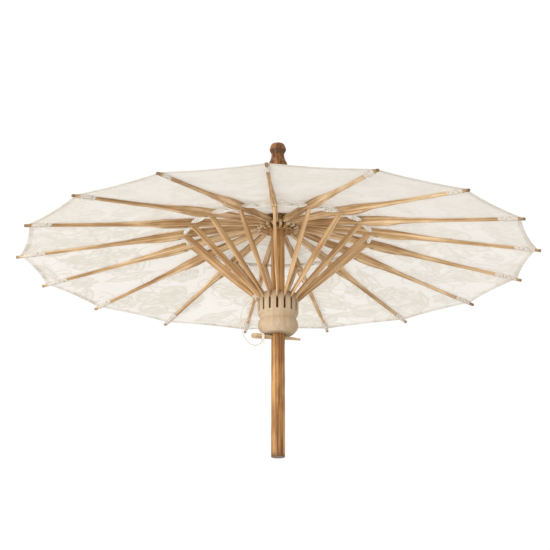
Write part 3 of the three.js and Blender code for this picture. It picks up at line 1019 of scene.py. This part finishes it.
def make_knots(path):
    """Where the string is tied: round the runner's crown end, and round the peg's head."""
    top = path[0]
    upper = [
        wound_loops(top + Vector((0.8, 0.2, -1.2)) * MM, Vector((0.9, 0.2, 0.5)), 2.3 * MM, 2.5, 1.2 * MM,
                    STRING_DIAMETER / 2, 5),
        wound_loops(top + Vector((1.6, -0.8, 1.4)) * MM, Vector((0.3, 0.2, 1)), 1.9 * MM, 1.8, 1.1 * MM,
                    STRING_DIAMETER / 2, 6),
        frayed_end(top + Vector((0.4, -0.6, 0.2)) * MM, Vector((0.5, -0.5, 0.9)), 5 * MM, 5, 6),
        frayed_end(top + Vector((-0.4, -0.6, 0)) * MM, Vector((-0.9, -0.3, 0.5)), 4 * MM, 4, 7),
    ]
    thread_piece("runner_knot", merged(upper), "runner", material=STRING_COTTON)
    end = path[-1]
    low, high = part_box("lock_peg")
    middle = Vector((end.x, end.x * tan(PEG_TURN), (low.z + high.z) / 2))
    lower = [
        wound_loops(middle, toward(PEG_TURN), 3.35 * MM, 3, 0.9 * MM, STRING_DIAMETER / 2, 8),
        frayed_end(middle + Vector((0.5, -1.5, -3.2)) * MM, Vector((0.25, -0.2, -1)), 8 * MM, 9, 9),
        frayed_end(middle + Vector((0, -1.5, -3.2)) * MM, Vector((-0.5, -0.3, -0.8)), 5 * MM, 5, 10),
    ]
    thread_piece("peg_knot", merged(lower), "peg")


# ---- cloth ----
# The strip over a rib: half its width at the shaft, and how much that grows outward.
STRIP_HALF_WIDTH = 3.0 * MM
# Columns of the strip and of each part beside it, and the spacing of the rows.
STRIP_FLARE = 0.0081
# How much of their width the parts beside the strip keep when closed.
STRIP_COLUMNS, SIDE_COLUMNS, ROW_STEP = 6, 20, 1.9 * MM
# The hem: how many rows it covers, and each of its own rows as (share back, millimetres below).
HEM_ROWS = 3
HEM = ((0.03, 0.25), (0.12, 0.5), (0.5, 0.55), (1, 0.45))
# In millimetres: how high the cloth lies on a rib and how far beside it, how far it stops short of
# the rib's end, and how deep the rim curves in between two ribs.
CLOTH_LIFT, RIB_COVER, CLOTH_INSET, SCALLOP = 0.7, 3.2, 5.0, 3.4


def cloth_line(spoke):
    """(radius, height) of the cloth over a rib, from under the crown gather to the rim."""
    crown = [(17.2, 292.1), (19.4, 291.7), (22.4, 290.6)]
    rows = [Vector((r, z)) * MM for r, z in crown]
    stop = spoke.length / MM - CLOTH_INSET
    for s in np.arange(12, stop, 4):
        over = max(RIB_TOP(s) + CLOTH_LIFT, 0.0)
        crown_drop = max(0.0, 1 - (s - 4) / 36) * 3.0
        place = spoke.rib_frame @ (Vector((s, 0, over + crown_drop)) * MM)
        rows.append(Vector((place.to_2d().length, place.z)))
    last = spoke.rib_frame @ (Vector((stop, 0, 1.4 + CLOTH_LIFT)) * MM)
    rows.append(Vector((last.to_2d().length, last.z)))
    lengths = np.concatenate([[0], np.cumsum([(b - a).length for a, b in zip(rows, rows[1:])])])
    at = np.linspace(0, lengths[-1], int(lengths[-1] / ROW_STEP))
    return list(zip(*(np.interp(at, lengths, column) for column in zip(*rows))))


def wrinkle(place, slack):
    """How far the cloth stands off the straight line between two ribs, at a place at rest."""
    radius = place.to_2d().length
    p = place / MM
    fine = noise.noise(Vector((p.x / 34, p.y / 34, radius / MM / 4.2)))
    broad = noise.noise(Vector((p.x / 70, p.y / 70, radius / MM / 15 + 40)))
    crown = exp(-((radius / MM - 60) / 55) ** 2)
    return slack * (0.42 * fine * (1 + 0.9 * crown) + 0.75 * broad) * MM


def gore_point(spoke, radius, height, share, slack_row, inset):
    """A point of the cloth: share runs from -1 to 1 between the gores' middles, through the rib."""
    width = abs(share)
    across = sin(HALF_SECTOR) * cos(HALF_SECTOR)
    out = radius * (1 - width * sin(HALF_SECTOR) ** 2)
    pull = inset * (1 - (1 - width) ** 2)
    beside = radius * share * across * (1 - pull / radius)
    point = spoke.out * (out - pull) + spoke.side * beside + UP * height
    point += UP * (pull * 0.16)
    past_rib = max(width - RIB_COVER * MM / (radius * sin(HALF_SECTOR)), 0)
    slack = (1 - (1 - past_rib) ** 5) * slack_row
    sag = 1.6 * MM * slack_row * (1 - (1 - width) ** 2) * min(radius / (250 * MM), 1)
    return point + UP * (wrinkle(point, slack) - sag)


def gore_shares(radius):
    """Places across a gore in a row, for its part over the rib and its parts on both sides."""
    edge = min((STRIP_HALF_WIDTH + STRIP_FLARE * radius) / (radius * sin(HALF_SECTOR)), 0.95)
    beside = np.linspace(edge, 1, SIDE_COLUMNS + 1)
    return {"over": np.linspace(-edge, edge, STRIP_COLUMNS + 1), "left": beside, "right": -beside[::-1]}


def gore_grid(spoke, part):
    """Rows of points of one part of a gore, from the crown to the rim and back under as the hem."""
    rows = cloth_line(spoke)
    reach = rows[-1][0]
    grid = []
    for radius, height in rows:
        tightness = min((reach - radius) / (22 * MM), 1)
        inset = SCALLOP * MM * max(0.0, (radius / reach - 0.62) / 0.38) ** 2
        grid.append([gore_point(spoke, radius, height, share, 0.35 + 0.65 * tightness, inset)
                     for share in gore_shares(radius)[part]])
    edge, inner = grid[-1], grid[-1 - HEM_ROWS]
    for back, under in HEM:
        grid.append([e.lerp(i, back) - UP * (under * MM) for e, i in zip(edge, inner)])
    return grid, reach


def make_gore(spoke, part):
    """The part of the canopy's lace over one rib, or beside it as far as the middle of the gap."""
    grid, reach = gore_grid(spoke, part)
    count = len(grid[0])
    points = [p for line in grid for p in line]
    name = f"lace_{part}_{spoke.label}"
    gore = make_object(name, points, grid_faces(len(grid), count), crease_deg=180)
    lay_flat(gore, [p.to_2d() for p in points])
    hem_start = len(grid) - len(HEM) - 1 - HEM_ROWS
    store(gore, "doubled", "FLOAT", [float(i // count >= hem_start) for i in range(len(points))])
    place_piece(gore, LACE, spoke.rib_body, "lace", "canopy")
    if part == "over":
        return
    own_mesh(gore)


def lay_flat(cloth, places):
    """The cloth's pattern follows these flat places of its points."""
    layer = cloth.data.uv_layers.new(name="cloth")
    for loop in cloth.data.loops:
        layer.data[loop.index].uv = places[loop.vertex_index]


def make_crown_gather():
    """The cloth's gathered middle round the hub's neck, over the inner ends of the gores."""
    profile = smooth([(0, 301.6), (0.12, 298), (0.25, 295.2), (0.4, 293.9), (0.62, 293.0), (0.82, 291.6),
                      (1, 289.9)])
    radii = smooth([(0, 13.1), (0.12, 13.2), (0.25, 14.2), (0.4, 17), (0.62, 21), (0.82, 25), (1, 29)])
    rows, columns = 26, 238
    pleats = 34
    points, flat = [], []
    for r in range(rows):
        share = r / (rows - 1)
        for c in range(columns):
            angle = 2 * pi * c / columns
            drift = noise.noise(Vector((cos(angle), sin(angle), 5)) * 2)
            fold = cos(pleats * angle + 1.5 * drift)
            depth = 0.55 * sin(pi * min(share * 1.15 + 0.1, 1)) + 0.1
            radius = (radii(share) + 0.35 * fold * depth) * MM
            height = (profile(share) + 0.75 * (fold + 1) * depth * 0.5) * MM
            points.append(Vector((radius * cos(angle), radius * sin(angle), height)))
            flat.append((radius * cos(angle) * 1.4, radius * sin(angle) * 1.4))
    gather = make_object("crown_gather", points, grid_faces(rows, columns, joined=True), crease_deg=180)
    lay_flat(gather, flat)
    hem_start = rows - HEM_ROWS
    store(gather, "doubled", "FLOAT", [1.0 if i // columns >= hem_start else 0.3 for i in range(len(points))])
    place_piece(gather, LACE, "shaft", "lace", "canopy")
    binding = [wound_loops(Vector((0, 0, 299 * MM)), UP, 14.1 * MM, 3, 0.9 * MM, 0.45 * MM, 12)]
    thread_piece("crown_binding", merged(binding), "shaft")


# Rows and columns of a sleeve's points.
SLEEVE_GRID = 22, 15


def sleeve_grid(spoke, draw, seed, inner_end, outer_end):
    """Points of a sleeve round the rib's underside, and their places on the flat cloth."""
    rows, columns = SLEEVE_GRID
    points, flat = [], []
    offset = Vector((draw.uniform(0, 30), 7, 3))
    for r in range(rows):
        share = r / (rows - 1)
        x = inner_end + (outer_end - inner_end) * share
        half = RIB_HALF_WIDTH(x) + 0.45 + 0.9 * sin(pi * min(share * 0.9 + 0.1, 1))
        bottom = RIB_BOTTOM(x) - 0.45
        top = RIB_TOP(x) + 0.25
        for c in range(columns):
            turn = pi * c / (columns - 1)
            y = half * cos(turn) * (1 + 0.25 * (1 - sin(turn)))
            z = top - (top - bottom) * sin(turn) ** 0.7
            stray = noise.noise_vector(Vector((x / 4, y / 2.2, z / 2.5)) + offset) * 0.45
            lean = 0.5 * sin(turn) * (noise.noise(Vector((x / 3, 0, seed))) - 0.2)
            ragged = 0.8 * sin(5 * c / (columns - 1) + seed) * (1 - share)
            points.append(spoke.rib_frame @ (Vector((
                x + ragged, y + stray.y * 0.5, z - abs(stray.z) * sin(turn) + min(lean, 0))) * MM))
            flat.append((x * MM, c / (columns - 1) * 9 * MM))
    return points, flat


def stitch(spoke, x):
    """A thread round the rib's underside, at x millimetres from its hinge."""
    half = RIB_HALF_WIDTH(x) + 1.1
    low = RIB_BOTTOM(x) - 1.25
    loop = []
    for j in range(9):
        turn = pi * (0.08 + 0.84 * j / 8)
        place = Vector((x + 1.6 * j / 8, half * cos(turn), 0.8 - (0.8 - low) * sin(turn)))
        loop.append(spoke.rib_frame @ (place * MM))
    return tube(loop, 0.22 * MM, 5)


def make_sleeve(spoke, seed):
    """Cloth folded under the rib near its tip, and sewn there."""
    draw = random.Random(seed)
    outer_end = spoke.length / MM - draw.uniform(7.2, 8.4)
    inner_end = outer_end - draw.uniform(20, 29)
    reach = outer_end - inner_end
    points, flat = sleeve_grid(spoke, draw, seed, inner_end, outer_end)
    sleeve = make_object(f"tip_sleeve_{spoke.label}", points, grid_faces(*SLEEVE_GRID), crease_deg=180)
    lay_flat(sleeve, flat)
    store(sleeve, "doubled", "FLOAT", [0.1] * len(points))
    place_piece(sleeve, SLEEVE_LACE, spoke.rib_body, "lace")
    places = [inner_end + reach * (0.12 + 0.25 * k) + draw.uniform(-1, 1) for k in range(4)]
    thread_piece(f"tip_stitches_{spoke.label}", merged([stitch(spoke, x) for x in places]), spoke.rib_body)


# ---- stage and light ----
def make_stage():
    """A pale floor that only throws light back, plain white behind the object, and soft lamps."""
    size, level = 30.0, -0.75
    corners = [(-size, -size, level), (size, -size, level), (size, size, level), (-size, size, level)]
    floor = make_object("floor", corners, [(0, 1, 2, 3)])
    material, tree, shader = new_material("floor")
    fill(tree, shader, {"Base Color": (0.9, 0.9, 0.9, 1), "Roughness": 0.9})
    floor.data.materials.append(material)
    floor.visible_camera = False

    world = bpy.data.worlds.new("studio")
    world.use_nodes = True
    bpy.context.scene.world = world
    tree = world.node_tree
    seen = node(tree, "ShaderNodeLightPath").outputs["Is Camera Ray"]
    lit = tree.nodes["Background"]
    fill(tree, lit, {"Color": (1.0, 0.985, 0.965, 1), "Strength": 0.7})
    white = node(tree, "ShaderNodeBackground", {"Color": (1, 1, 1, 1), "Strength": 1.02})
    both = node(tree, "ShaderNodeMixShader", {0: seen, 1: lit.outputs[0], 2: white.outputs[0]})
    fill(tree, tree.nodes["World Output"], {"Surface": both.outputs[0]})

    for name, place, aim, energy, width in (
            ("key", (-1.7, -1.7, 0.1), (0, 0, 0.2), 36, 1.0),
            ("fill", (1.7, -1.6, -0.3), (0, 0, 0.2), 8, 1.4),
            ("top", (-0.3, 0.4, 1.9), (0, 0, 0.25), 14, 1.6)):
        lamp = bpy.data.lights.new(name, "AREA")
        lamp.energy = energy
        lamp.size = width
        lamp.color = (1, 0.98, 0.95)
        holder = bpy.data.objects.new(name, lamp)
        holder.location = place
        holder.rotation_euler = (Vector(place) - Vector(aim)).to_track_quat("Z", "Y").to_euler()
        bpy.context.scene.collection.objects.link(holder)
    bpy.context.scene.view_settings.view_transform = "Standard"


# ---- assembly ----
make_shaft()
make_finial()
make_hub()
make_runner()
make_peg()
make_ring_threads()
make_hub_lashing()
make_knots(make_string())
for number, spoke in enumerate(SPOKES):
    make_rib(spoke, 100 + number)
    make_stretcher(spoke, 200 + number)
    make_pivot_yarn(spoke, 300 + number)
    for part in ("over", "left", "right"):
        make_gore(spoke, part)
    make_sleeve(spoke, 400 + number)
make_crown_gather()
make_stage()
